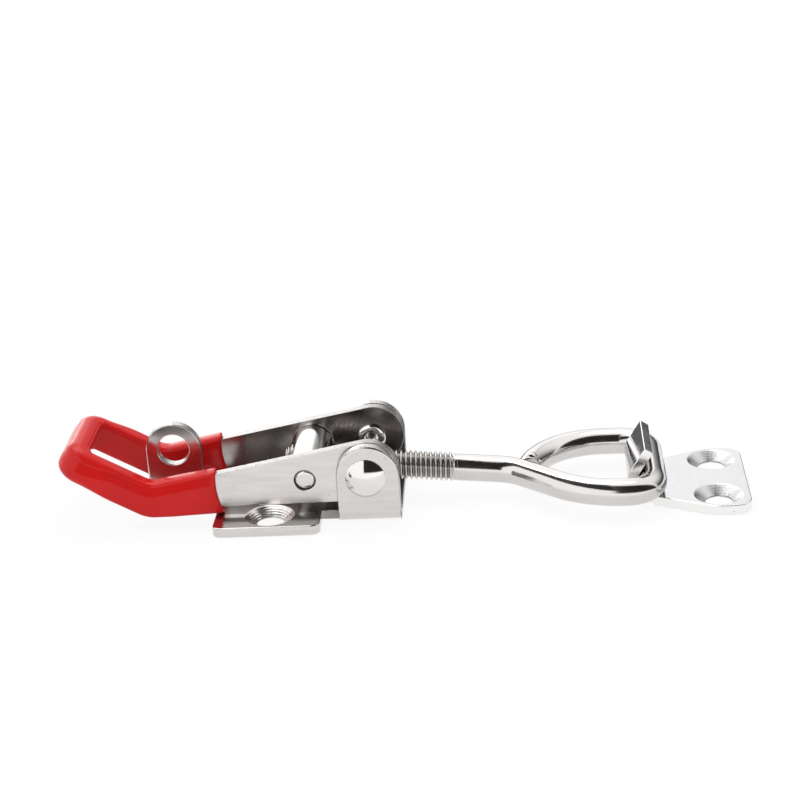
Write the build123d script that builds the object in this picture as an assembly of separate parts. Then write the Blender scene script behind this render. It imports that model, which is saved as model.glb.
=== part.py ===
from build123d import *
import math
import os

# Adjustable over-centre toggle latch with a padlock eye, all sizes in millimetres.
# X runs along the latch: the grip is at -X and the strike plate at +X. Y is the width, Z is up.
# The origin lies on the mounting plane, midway between the two screw holes of the base plate.
# Every piece is first drawn about the ears (x = 0 below the centre of their round tops) and moved
# there at the end.

# ---- sheet, rod and clearances -------------------------------------------------------------
SHEET = 2.0               # thickness of every pressed sheet piece
ROD = 5.4                 # plain rod of the hook
THREAD_RISE = 0.25        # the rolled M6 thread stands this much above the plain rod
BEND_IN = 0.8             # inside radius of the sharp folds
SIDE_GAP = 0.3            # play between flat faces that pass each other
PIN_PLAY = 0.05           # radial running clearance of a pin in its hole
SEAT_GAP = 0.3            # play between the hook's front bar and its seat

# ---- handle --------------------------------------------------------------------------------
HANDLE_IN = 16.4          # clear width between the two side plates
PLATE_R = 6.25            # rounded front end of the side plates
FLOOR_GAP = 1.95          # room between the side plates and the base's floor
TOP_FALL = 10.8           # the top edge falls to the rear by this angle
BOTTOM_FALL = 0.5         # the bottom edge falls to the rear by this angle
KNEE_X = 44.6             # distance from the ears back to the knee, where the grip turns up
KNEE_ANGLE = 29.5         # angle that the grip is turned up by
ARM = 19.4                # length of the turned-up arm, knee to outside of the end web
ARM_H = 4.4               # height of the steel strip in the arm
WEB_R = 2.0               # inside radius where the side plates turn into the end web
KNEE_R = 5.0              # rounding of the top edge at the knee

# ---- dipped grip ---------------------------------------------------------------------------
COAT = 1.0                # thickness of the dipped coating on the sides
COAT_BELOW = 1.5          # it sags while it cures, so it is thicker below
COAT_ABOVE = 0.85         # and thinner above
COAT_ROUND = 0.75         # softness of its long edges
GRIP_X = 30.5             # the coating ends this far behind the ears' centre

# ---- trunnion barrel -----------------------------------------------------------------------
TRUNNION_X = 12.7         # trunnion axis, behind the ears' centre
OVER_CENTRE = 1.0         # the closed trunnion lies this far below the pivot
BARREL_WALL = 1.35        # metal left between the cross hole and the barrel's surface
TRUNNION_PIN = 4.2        # diameter of its two pin ends
BARREL_EDGE = 0.4         # chamfer of the barrel's ends
PIN_EDGE = 0.3            # chamfer of the pin ends

# ---- main rivets ---------------------------------------------------------------------------
RIVET = 4.2               # shank
RIVET_HEAD = 7.9          # dome head outside the ear
RIVET_DOME = 1.85         # height of the dome
RIVET_TAIL = 5.8          # formed head inside the side plate
RIVET_TAIL_T = 0.8        # its thickness
RIVET_TAIL_EDGE = 0.3     # bevel of its rim
RIVET_DIMPLE = 1.05       # radius of the shallow dimple that the setting punch leaves

# ---- base plate ----------------------------------------------------------------------------
WING_FRONT = 9.8          # front end of the wings, behind the ears' centre
WING_REAR = 31.2          # rear end of the wings, behind it
WING_ROUND = 1.8          # corner rounding of the wings
EAR_R = 6.25              # rounded top of the ears
PIVOT_BACK = 0.4          # the pivot hole lies this far behind the centre of the round tops
PIVOT_DROP = 0.4          # and this far below it
BASE_HOLE_X = 20.1        # screw holes, behind the ears' centre
HOLE_ASIDE = 1.0          # the screw holes lie this far outside the side plates

# ---- screw holes, base and strike ----------------------------------------------------------
SCREW_D = 5.4             # through hole
CSK_D = 9.6               # rim of the countersink
CSK_DEPTH = 1.7           # depth of the countersink
RIM = 0.8                 # metal left outside a countersink

# ---- padlock eye ---------------------------------------------------------------------------
EYE_X = 40.1              # eye centre, behind the ears' centre
EYE_Z = 12.5              # eye centre, above the mounting plane
EYE_R = 5.6               # rounded top of the eye
EYE_D = 6.4               # hole for the padlock's shackle
TONGUE_PLAY = 0.2         # room between the eye's tongue and the grip

# ---- hook bolt -----------------------------------------------------------------------------
BAR_X = 56.2              # centre of the loop's front bar, ahead of the ears' centre
LOOP_HALF = 12.7          # half width of the loop, between leg centres
LOOP_R = 5.4              # near corner of the loop, centre line
FAR_LOOP_R = 6.0          # far corner, bent second and a little wider
FORK_X = 28.3             # the lines of the sloping shank and of the level near leg meet here
FORK_R = 6.6              # radius of the bend between them
FORK_ANGLE = 41.3         # the near leg opens by this angle
SHOULDER_R = 20.0         # radius where the near leg comes parallel
FAR_R = 15.2              # the far leg is one arc that comes back to the shank
FAR_AHEAD = 18.5          # that arc starts this far ahead of the fork
FAR_PAST = 0.9            # its cut end lies this far past the latch's middle
THREAD_FRONT = 17.3       # front end of the thread, ahead of the ears' centre
TAIL = 0.4                # rod left standing behind the barrel
WELD_R = 1.3              # bead that closes the loop
WELD_AHEAD = 3.85         # the bead lies this far ahead of the fork,
WELD_ASIDE = 1.0          # this far to the far side
WELD_UP = 2.15            # and this far above the rod's centre line

# ---- strike plate --------------------------------------------------------------------------
STRIKE_LEAN = 32.7        # the hook's tongue leans back over the bar by this angle
STRIKE_LIP = 4.8          # straight length of that tongue
STRIKE_STEP = 1.2         # relief each side of the fold: the plate is this much wider there
STRIKE_WIDEN = 11.3       # the sides widen over this length, from the bar on
STRIKE_END = 19.0         # front end, ahead of the bar
STRIKE_HOLE = 12.8        # screw holes, ahead of the bar
STRIKE_HOLE_Y = 8.4       # half the spacing of the two strike holes
STRIKE_CORNER = 3.5       # rounding of the front corners
STRIKE_SHOULDER = 8.0     # rounding where the taper ends
STRIKE_STRAIGHT = 0.05    # share of its room that this rounding leaves straight at least

# ---- tolerances for finding edges and corners ----------------------------------------------
NEAR = 0.01               # corners that lie this close to a line belong to it
SLANT = 0.6               # a face counts as an upper or lower one above this cosine

# ---- sizes that follow from those above ----------------------------------------------------
thread = ROD + 2 * THREAD_RISE
barrel_d = thread + 2 * BARREL_WALL
handle_out = HANDLE_IN + 2 * SHEET
ear_z = SHEET + FLOOR_GAP + PLATE_R
pivot = Vector(-PIVOT_BACK, 0, ear_z - PIVOT_DROP)
trunnion_z = pivot.Z - OVER_CENTRE
base_hole_y = handle_out / 2 + HOLE_ASIDE
wing_half = base_hole_y + CSK_D / 2 + RIM
strike_half = STRIKE_HOLE_Y + CSK_D / 2 + RIM
ear_in = handle_out + 2 * SIDE_GAP
ear_out = ear_in + 2 * SHEET
fold_out = BEND_IN + SHEET
floor_half = ear_out / 2 - fold_out
bar_z = SHEET + SEAT_GAP + ROD / 2
strike_neck = LOOP_HALF - LOOP_R    # the tongue is as wide as the straight part of the front bar
fork_z = bar_z
shank_fall = math.degrees(math.atan2(trunnion_z - fork_z, TRUNNION_X + FORK_X))
shank_dir = Vector(math.cos(math.radians(shank_fall)), 0, -math.sin(math.radians(shank_fall)))
trunnion = Vector(-TRUNNION_X, 0, trunnion_z)
arm_dir = Vector(-math.cos(math.radians(KNEE_ANGLE)), 0, math.sin(math.radians(KNEE_ANGLE)))
arm_up = Vector(math.sin(math.radians(KNEE_ANGLE)), 0, math.cos(math.radians(KNEE_ANGLE)))
arm_foot = Vector(-KNEE_X, ear_z - PLATE_R - KNEE_X * math.tan(math.radians(BOTTOM_FALL)))


def slab(sketch, y_from, y_to):
    """A flat shape in the XZ plane, made into a plate between two values of Y."""
    plate = extrude(Plane.XZ * sketch, amount=-(y_to - y_from))
    return Pos(0, y_from, 0) * plate


def y_cylinder(x, z, diameter, y_from, y_to):
    """A round bar across the latch."""
    return Pos(x, (y_from + y_to) / 2, z) * Rot(90, 0, 0) * Cylinder(diameter / 2, y_to - y_from)


def screw_hole(x, y):
    """The cutter for a countersunk screw hole in a sheet that lies on the mounting plane."""
    bore = Pos(x, y, SHEET / 2) * Cylinder(SCREW_D / 2, 3 * SHEET)
    sink = Pos(x, y, SHEET - CSK_DEPTH / 2) * Cone(SCREW_D / 2, CSK_D / 2, CSK_DEPTH)
    return bore + sink


# ---- handle: one strip of sheet, folded to a U ---------------------------------------------
def side_outline(below, above):
    """Side view of the handle, drawn past its rear end: it tapers back and turns up at the knee.

    The outline is thickened by these two amounts below and above."""
    top = math.radians(TOP_FALL)
    low = math.radians(BOTTOM_FALL)
    arm = Vector(arm_dir.X, arm_dir.Z)
    up = Vector(arm_up.X, arm_up.Z)
    # the two long edges touch the circle of the round front end
    front_top = Vector(-PLATE_R * math.sin(top), ear_z + PLATE_R * math.cos(top))
    front_low = Vector(PLATE_R * math.sin(low), ear_z - PLATE_R * math.cos(low))
    rear_low = arm_foot + arm * 2 * ARM
    rear_top = rear_low + up * ARM_H
    # in the top edge the knee is where the falling edge meets the arm's upper edge
    fall = Vector(-math.cos(top), -math.sin(top))
    gap = rear_top - front_top
    along = (gap.X * arm.Y - gap.Y * arm.X) / (fall.X * arm.Y - fall.Y * arm.X)
    knee_top = front_top + fall * along
    points = [front_top, knee_top, rear_top, rear_low, arm_foot, front_low]
    outline = make_face(Polyline(*[(p.X, p.Y) for p in points], close=True))
    knees = [v for v in outline.vertices() if abs(v.X - knee_top.X) < NEAR or abs(v.X - arm_foot.X) < NEAR]
    outline = fillet(knees, KNEE_R) + Pos(0, ear_z) * Circle(PLATE_R)
    if below + above > 0:
        outline = offset(outline, amount=(below + above) / 2, kind=Kind.INTERSECTION)
    return Pos(0, (above - below) / 2) * outline


def handle_shape(grow, below, above):
    """The folded strip, thickened by grow on its flat sides and by the other two on its long edges."""
    inner = HANDLE_IN / 2 - grow
    outer = handle_out / 2 + grow
    blank = slab(side_outline(below, above), -outer, outer)
    # plan of the U seen square to the arm: two walls joined by the rounded end web
    reach = ARM + KNEE_X + 3 * PLATE_R
    hull = Pos(reach / 2 - grow, 0) * Rectangle(reach, 2 * outer)
    hull = fillet(hull.vertices().sort_by(Axis.X)[:2], WEB_R + SHEET + grow)
    channel = Pos(SHEET + grow + reach / 2, 0) * Rectangle(reach, 2 * inner)
    channel = fillet(channel.vertices().sort_by(Axis.X)[:2], WEB_R - grow)
    end_low = Vector(arm_foot.X, 0, arm_foot.Y) + arm_dir * ARM
    arm_plane = Plane(origin=end_low, x_dir=-arm_dir, z_dir=arm_up)
    return blank & extrude(arm_plane * (hull - channel), amount=reach, both=True)


def handle_lever():
    lever = handle_shape(0, 0, 0)
    reach = handle_out
    lever -= y_cylinder(pivot.X, pivot.Z, RIVET + 2 * PIN_PLAY, -reach, reach)
    lever -= y_cylinder(-TRUNNION_X, trunnion_z, TRUNNION_PIN + 2 * PIN_PLAY, -reach, reach)
    return lever


def handle_grip(lever):
    reach = 2 * (KNEE_X + ARM)
    rear = Pos(-GRIP_X - reach / 2, 0, 0) * Box(reach, reach, reach)
    coat = handle_shape(COAT, COAT_BELOW, COAT_ABOVE) & rear
    # the long edges are those that border the upper and lower faces, but not the seams between these
    rims = [f for f in coat.faces() if abs(f.normal_at().dot(arm_up)) > SLANT]
    borders = [e for f in rims for e in f.edges()]
    long_edges = [e for e in borders if borders.count(e) == 1 and e.center().X < -GRIP_X - NEAR]
    return fillet(long_edges, COAT_ROUND) - lever


# ---- base plate: one folded sheet with ears, wings and the padlock eye ----------------------
def base_plate():
    wing_len = WING_REAR - WING_FRONT
    wings = Pos(-(WING_REAR + WING_FRONT) / 2, 0) * Rectangle(wing_len, 2 * wing_half)
    wings = fillet(wings.vertices(), WING_ROUND)
    neck_len = WING_REAR + EAR_R
    neck = Pos(EAR_R - neck_len / 2, 0) * Rectangle(neck_len, 2 * floor_half)
    floor = extrude(wings + neck, amount=SHEET)

    # side view of an ear, and its section with the fold at the bottom
    ear_side = Pos(0, ear_z / 2) * Rectangle(2 * EAR_R, ear_z) + Pos(0, ear_z) * Circle(EAR_R)
    ears = slab(ear_side, -ear_out / 2, ear_out / 2)
    section = (Pos(0, ear_z) * Rectangle(ear_out, 2 * ear_z))
    section = fillet(section.vertices().sort_by(Axis.Y)[:2], fold_out)
    hollow = Pos(0, ear_z + SHEET) * Rectangle(ear_in, 2 * ear_z)
    hollow = fillet(hollow.vertices().sort_by(Axis.Y)[:2], BEND_IN)
    channel = extrude(Plane.YZ * (section - hollow), amount=2 * EAR_R, both=True)
    ears = ears & channel

    # the tongue runs back under the handle and its side is folded up as the eye
    eye_front = -SHEET / 2
    tongue_side = HANDLE_IN / 2 - COAT - TONGUE_PLAY
    tongue_end = EYE_X + EYE_R
    tongue_len = tongue_end - WING_REAR + SHEET
    tongue_w = tongue_side - eye_front - fold_out
    tongue = Pos(-tongue_end + tongue_len / 2, tongue_side - tongue_w / 2) * Rectangle(tongue_len, tongue_w)
    tongue = extrude(tongue, amount=SHEET)
    eye_side = Pos(-EYE_X, EYE_Z / 2) * Rectangle(2 * EYE_R, EYE_Z) + Pos(-EYE_X, EYE_Z) * Circle(EYE_R)
    eye = slab(eye_side, eye_front, eye_front + 2 * fold_out)
    fold = Pos(eye_front + fold_out, EYE_Z) * Rectangle(2 * fold_out, 2 * EYE_Z)
    fold = fillet(fold.vertices().sort_by(Axis.Y)[:2].sort_by(Axis.X)[:1], fold_out)
    inside = Pos(eye_front + SHEET + fold_out, EYE_Z + SHEET) * Rectangle(2 * fold_out, 2 * EYE_Z)
    inside = fillet(inside.vertices().sort_by(Axis.Y)[:2].sort_by(Axis.X)[:1], BEND_IN)
    eye = eye & extrude(Plane.YZ * (fold - inside), amount=2 * tongue_end, both=True)
    eye -= y_cylinder(-EYE_X, EYE_Z, EYE_D, -fold_out, fold_out)

    plate = floor + ears + tongue + eye
    for side in (-1, 1):
        plate -= screw_hole(-BASE_HOLE_X, side * base_hole_y)
    plate -= y_cylinder(pivot.X, pivot.Z, RIVET, -ear_out, ear_out)
    return plate


# ---- main rivets: dome outside the ear, formed head inside the side plate --------------------
def pivot_rivet(side):
    outer = ear_out / 2
    inner = HANDLE_IN / 2 - SIDE_GAP / 2
    tip = inner - RIVET_TAIL_T
    half = RIVET_HEAD / 2
    dome = (half**2 + RIVET_DOME**2) / (2 * RIVET_DOME)
    edge = outer + RIVET_DOME
    bend = math.asin(half / dome) / 2
    crown = (dome * math.sin(bend), edge - dome * (1 - math.cos(bend)))
    profile = make_face(
        Polyline((0, edge), (0, tip + RIVET_TAIL_EDGE), (RIVET_DIMPLE, tip),
                 (RIVET_TAIL / 2 - RIVET_TAIL_EDGE, tip), (RIVET_TAIL / 2, tip + RIVET_TAIL_EDGE),
                 (RIVET_TAIL / 2, inner), (RIVET / 2, inner), (RIVET / 2, outer), (half, outer))
        + ThreePointArc((half, outer), crown, (0, edge)))
    rivet = revolve(profile, Axis.Y)
    if side < 0:
        rivet = mirror(rivet, Plane.XZ)
    return Pos(pivot) * rivet


# ---- trunnion barrel: turned pin with a threaded cross hole ----------------------------------
def barrel():
    body_len = HANDLE_IN - 2 * SIDE_GAP
    turned = y_cylinder(0, 0, barrel_d, -body_len / 2, body_len / 2)
    turned = chamfer(turned.edges(), BARREL_EDGE)
    pin = y_cylinder(0, 0, TRUNNION_PIN, -handle_out / 2, handle_out / 2)
    pin = chamfer(pin.edges(), PIN_EDGE)
    turned += pin
    hole = Rot(0, 90 + shank_fall, 0) * Cylinder(thread / 2 + PIN_PLAY, 2 * barrel_d)
    return Pos(trunnion) * (turned - hole)


# ---- hook bolt: threaded rod bent round to a loop whose end is welded to the shank -----------
def hook_bolt():
    slope = math.radians(FORK_ANGLE)
    fork = Vector(FORK_X, 0, fork_z)
    leg_dir = Vector(math.cos(slope), -math.sin(slope), 0)
    shoulder_x = FORK_X + LOOP_HALF / math.tan(slope)
    # the shank, and the bend that levels it and turns it aside
    rear_end = trunnion - shank_dir * (barrel_d / 2 + TAIL)
    run_in = FORK_R * math.tan(shank_dir.get_angle(leg_dir) * math.pi / 360)
    bend_start = fork - shank_dir * run_in
    bend_end = fork + leg_dir * run_in
    shank_line = Line(rear_end, bend_start) + TangentArc(bend_start, bend_end, tangent=shank_dir)
    # the near leg and half the front bar
    near = FilletPolyline(
        (bend_end.X, bend_end.Y), (shoulder_x, -LOOP_HALF), (BAR_X, -LOOP_HALF), (BAR_X, 0),
        radius=[SHOULDER_R, LOOP_R])
    # then the other half of the bar and the arc of the far leg, back to the weld
    far_x = FORK_X + FAR_AHEAD
    arc_y = LOOP_HALF - FAR_R
    turn = math.degrees(math.acos((-FAR_PAST - arc_y) / FAR_R))
    far = FilletPolyline((BAR_X, 0), (BAR_X, LOOP_HALF), (far_x, LOOP_HALF), radius=FAR_LOOP_R)
    far += CenterArc((far_x, arc_y), FAR_R, 90, turn)
    shank_end = Plane(origin=rear_end, z_dir=shank_dir)
    rod = sweep(shank_end * Circle(ROD / 2), path=shank_line + Pos(0, 0, fork_z) * near)
    far_line = Pos(0, 0, fork_z) * far
    rod += sweep(Plane(origin=far_line @ 0, z_dir=far_line % 0) * Circle(ROD / 2), path=far_line)

    # the rolled thread at its crest diameter, and the bead that closes the loop
    crest_len = (THREAD_FRONT + TRUNNION_X) / shank_dir.X + barrel_d / 2 + TAIL
    crest = extrude(shank_end * Circle(thread / 2), amount=crest_len)
    crest = chamfer(crest.edges().filter_by(GeomType.CIRCLE), THREAD_RISE)
    bead = Pos(FORK_X + WELD_AHEAD, WELD_ASIDE, fork_z + WELD_UP) * Sphere(WELD_R)
    return rod + crest + bead


# ---- strike plate: sheet with two screw holes, folded up and back as a hook ------------------
def strike_plate():
    seat = ROD / 2 + SEAT_GAP
    lean = math.radians(STRIKE_LEAN)
    end = BAR_X + STRIKE_END
    wide = BAR_X + STRIKE_WIDEN
    root = strike_neck + STRIKE_STEP
    outline = make_face(Polyline(
        (BAR_X, -root), (wide, -strike_half), (end, -strike_half), (end, strike_half),
        (wide, strike_half), (BAR_X, root), close=True))
    outline = fillet(outline.vertices().filter_by_position(Axis.X, end - NEAR, end + NEAR), STRIKE_CORNER)
    shoulders = outline.vertices().filter_by_position(Axis.X, wide - NEAR, wide + NEAR)
    # the shoulder's rounding has to end before that of the corner starts
    room = STRIKE_END - STRIKE_WIDEN - STRIKE_CORNER
    taper = math.atan2(strike_half - root, STRIKE_WIDEN)
    largest = (1 - STRIKE_STRAIGHT) * room / math.tan(taper / 2)
    outline = fillet(shoulders, min(STRIKE_SHOULDER, largest))
    plate = extrude(outline, amount=SHEET)

    # section of the hook: an arc round the bar, then the straight tongue
    out = seat + SHEET
    away = Vector(-math.cos(lean), math.sin(lean))
    rise = Vector(math.sin(lean), math.cos(lean))
    mid = Vector(-math.sin(math.pi / 4 + lean / 2), -math.cos(math.pi / 4 + lean / 2))
    centre = Vector(BAR_X, bar_z)

    def at(vector):
        return ((centre + vector).X, (centre + vector).Y)

    fold = make_face(
        ThreePointArc(at(Vector(0, -seat)), at(mid * seat), at(away * seat))
        + Line(at(away * seat), at(away * seat + rise * STRIKE_LIP))
        + Line(at(away * seat + rise * STRIKE_LIP), at(away * out + rise * STRIKE_LIP))
        + Line(at(away * out + rise * STRIKE_LIP), at(away * out))
        + ThreePointArc(at(away * out), at(mid * out), at(Vector(0, -out)))
        + Line(at(Vector(0, -out)), at(Vector(0, -seat))))
    plate += slab(fold, -strike_neck, strike_neck)
    for side in (-1, 1):
        plate -= screw_hole(BAR_X + STRIKE_HOLE, side * STRIKE_HOLE_Y)
    return plate


lever = handle_lever()
parts = {
    "base_plate": base_plate(),
    "pivot_rivet_near": pivot_rivet(-1),
    "pivot_rivet_far": pivot_rivet(1),
    "handle_lever": lever,
    "handle_grip": handle_grip(lever),
    "trunnion_barrel": barrel(),
    "hook_bolt": hook_bolt(),
    "strike_plate": strike_plate(),
}

os.makedirs("parts", exist_ok=True)
home = Pos(BASE_HOLE_X, 0, 0)
for name, solid in parts.items():
    export_step(home * solid, f"parts/{name}.step")
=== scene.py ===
import math

import bmesh
import bpy
from mathutils import Matrix, Vector, noise


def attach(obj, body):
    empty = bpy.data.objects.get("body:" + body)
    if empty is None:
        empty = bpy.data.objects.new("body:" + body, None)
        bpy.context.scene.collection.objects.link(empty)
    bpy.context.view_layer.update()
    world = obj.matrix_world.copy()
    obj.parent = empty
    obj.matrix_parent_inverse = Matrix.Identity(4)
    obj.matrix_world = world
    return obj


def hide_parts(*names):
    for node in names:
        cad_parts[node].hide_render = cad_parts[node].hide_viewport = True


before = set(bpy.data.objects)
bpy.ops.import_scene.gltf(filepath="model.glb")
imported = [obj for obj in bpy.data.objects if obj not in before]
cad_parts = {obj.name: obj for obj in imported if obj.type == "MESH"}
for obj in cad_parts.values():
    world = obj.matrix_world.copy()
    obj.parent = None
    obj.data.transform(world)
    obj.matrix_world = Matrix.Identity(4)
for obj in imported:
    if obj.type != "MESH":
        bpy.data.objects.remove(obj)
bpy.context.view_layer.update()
mm = 0.001


# Base plate. One blank of 2 mm steel sheet, pressed: two ears folded up for the main rivets,
# two wings with countersunk screw holes, and a tongue with a padlock eye folded up at the back.
# It is nickel plated after pressing: faces are satin, the sheared edges keep a torn grain.
def at(x, y, z):
    """A place given in millimetres."""
    return Vector((x, y, z)) * mm


sheet_thick = 2.0 * mm
ear_middle = at(20.1, 0.0, 10.2)
pivot = at(19.7, 0.0, 9.8)
base_screws = [at(0.0, -11.2, 2.0), at(0.0, 11.2, 2.0)]


def shown(name, data):
    """A new object of the scene that shows data."""
    piece = bpy.data.objects.new(name, data)
    bpy.context.scene.collection.objects.link(piece)
    return piece


def adjust(thing, **settings):
    """Sets a thing's properties by keyword."""
    for key, value in settings.items():
        setattr(thing, key, value)
    return thing


def feed(tree, node, values):
    """Sets a node's inputs by name or number, and links those whose value is another node's output."""
    for key, value in values.items():
        if isinstance(value, bpy.types.NodeSocket):
            tree.links.new(value, node.inputs[key])
        else:
            node.inputs[key].default_value = value


def put(tree, kind, values=None, **settings):
    """Adds a node, sets its properties by keyword and feeds its inputs."""
    node = adjust(tree.nodes.new(kind), **settings)
    feed(tree, node, values or {})
    return node


def calc(tree, operation, *terms):
    """Arithmetic on numbers and outputs."""
    return put(tree, "ShaderNodeMath", dict(enumerate(terms)), operation=operation).outputs["Value"]


def vector(tree, operation, *terms, gives="Vector", **named):
    """The same for vectors; a length and a dot product give a Value."""
    values = {**dict(enumerate(terms)), **named}
    return put(tree, "ShaderNodeVectorMath", values, operation=operation).outputs[gives]


def ramp(tree, value, start, end, low=0.0, high=1.0, smooth=False):
    """Goes from low to high while value goes from start to end, and stays there beyond."""
    values = {"Value": value, "From Min": start, "From Max": end, "To Min": low, "To Max": high}
    kind = "SMOOTHSTEP" if smooth else "LINEAR"
    return put(tree, "ShaderNodeMapRange", values, interpolation_type=kind).outputs["Result"]


def blend(tree, share, first, second):
    """The colour that goes from first to second as share goes from 0 to 1."""
    return put(tree, "ShaderNodeMix", {0: share, 6: first, 7: second}, data_type="RGBA").outputs[2]


def cloudy(tree, spot, scale, detail, roughness=0.5):
    """Noise at spot: its Fac and its Color."""
    values = {"Vector": spot, "Scale": scale, "Detail": detail, "Roughness": roughness}
    return put(tree, "ShaderNodeTexNoise", values).outputs


def blank_group(name, entries, exits):
    """A shader node group with named inputs and their starting values, and named float outputs."""
    group = bpy.data.node_groups.new(name, "ShaderNodeTree")
    for label, start in entries.items():
        kind = "NodeSocketFloat" if isinstance(start, float) else "NodeSocketVector"
        socket = group.interface.new_socket(label, in_out="INPUT", socket_type=kind)
        if start is not None:
            socket.default_value = start
    for label in exits:
        group.interface.new_socket(label, in_out="OUTPUT", socket_type="NodeSocketFloat")
    return group, group.nodes.new("NodeGroupInput").outputs, group.nodes.new("NodeGroupOutput")


def grain_group():
    """Fine directional grain of rolled or drawn steel: noise stretched along one axis."""
    group, enter, leave = blank_group(
        "rolled_grain", {"Vector": None, "Stretch": (1.0, 1.0, 1.0), "Fineness": 900.0, "Cloud": 90.0},
        ["Tone", "Cloud", "Height"])
    low, high = 0.35, 0.65
    stretched = vector(group, "MULTIPLY", enter["Vector"], enter["Stretch"])
    fine = cloudy(group, stretched, enter["Fineness"], 5.0, 0.6)["Fac"]
    cloud = cloudy(group, enter["Vector"], enter["Cloud"], 3.0)["Fac"]
    feed(group, leave, {"Tone": ramp(group, fine, low, high), "Cloud": ramp(group, cloud, low, high),
                        "Height": fine})
    return group


def shear_group():
    """The torn band and its speckle on a sheared edge, shown where Mask is 1."""
    group, enter, leave = blank_group(
        "sheared_edge", {"Vector": None, "Mask": 0.0, "Fineness": 2800.0}, ["Speckle", "Height"])
    darkest = 0.75
    torn = cloudy(group, enter["Vector"], enter["Fineness"], 4.0, 0.7)["Fac"]
    dark = ramp(group, torn, 0.50, 0.66, 0.0, darkest)
    feed(group, leave, {"Speckle": calc(group, "MULTIPLY", dark, enter["Mask"]),
                        "Height": calc(group, "MULTIPLY", torn, enter["Mask"])})
    return group


def ring_group():
    """Tool rings left by a countersink about an upright axis through the vector's origin."""
    group, enter, leave = blank_group(
        "countersink_rings", {"Vector": None, "Radius": 4.8 * mm, "Step": 0.45 * mm}, ["Ring", "Inside"])
    flat = vector(group, "MULTIPLY", enter["Vector"], (1.0, 1.0, 0.0))
    away = vector(group, "LENGTH", flat, gives="Value")
    turns = calc(group, "DIVIDE", away, enter["Step"])
    wave = calc(group, "SINE", calc(group, "MULTIPLY", turns, 2 * math.pi))
    inside = calc(group, "LESS_THAN", away, enter["Radius"])
    feed(group, leave, {"Ring": calc(group, "MULTIPLY", wave, inside), "Inside": inside})
    return group


def wear_group():
    """Sparse hairline scratches and small specks from handling."""
    group, enter, leave = blank_group(
        "handling_marks", {"Vector": None, "Spacing": 260.0}, ["Scratch", "Speck"])
    spot = enter["Vector"]
    bend, hairline, speck_core, speck_edge = 2.2 * mm, 0.012, 0.03, 0.06
    shift = vector(group, "SCALE", cloudy(group, spot, 120.0, 2.0)["Color"], Scale=bend)
    cells = put(group, "ShaderNodeTexVoronoi",
                {"Vector": vector(group, "ADD", spot, shift), "Scale": enter["Spacing"]},
                feature="DISTANCE_TO_EDGE")
    line = ramp(group, cells.outputs["Distance"], 0.0, hairline, 1.0, 0.0)
    few = ramp(group, cloudy(group, spot, 210.0, 1.0)["Fac"], 0.63, 0.73)
    dots = put(group, "ShaderNodeTexVoronoi", {"Vector": spot, "Scale": 420.0}, feature="F1")
    speck = ramp(group, dots.outputs["Distance"], speck_core, speck_edge, 1.0, 0.0)
    feed(group, leave, {"Scratch": calc(group, "MULTIPLY", line, few), "Speck": speck})
    return group


rolled_grain = grain_group()
sheared_edge = shear_group()
countersink_rings = ring_group()
handling_marks = wear_group()


def use(tree, group, **values):
    """One of the groups above, placed in a material with its own values: its outputs."""
    return put(tree, "ShaderNodeGroup", values, node_tree=group).outputs


def painted(tree, name):
    """What the mesh's attribute of this name says."""
    return put(tree, "ShaderNodeAttribute", attribute_name=name).outputs["Fac"]


def new_finish(name):
    """A material, its tree, its shader and the piece's own coordinates."""
    material = bpy.data.materials.new(name)
    material.use_nodes = True
    tree = material.node_tree
    return material, tree, tree.nodes["Principled BSDF"], put(tree, "ShaderNodeTexCoord").outputs["Object"]


def dress(tree, shader, tone, rough, height, strength, depth):
    """Feeds a shader its colour, its roughness and its relief."""
    bump = put(tree, "ShaderNodeBump", {"Strength": strength, "Distance": depth, "Height": height})
    feed(tree, shader, {"Base Color": tone, "Roughness": rough, "Normal": bump.outputs["Normal"]})


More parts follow.
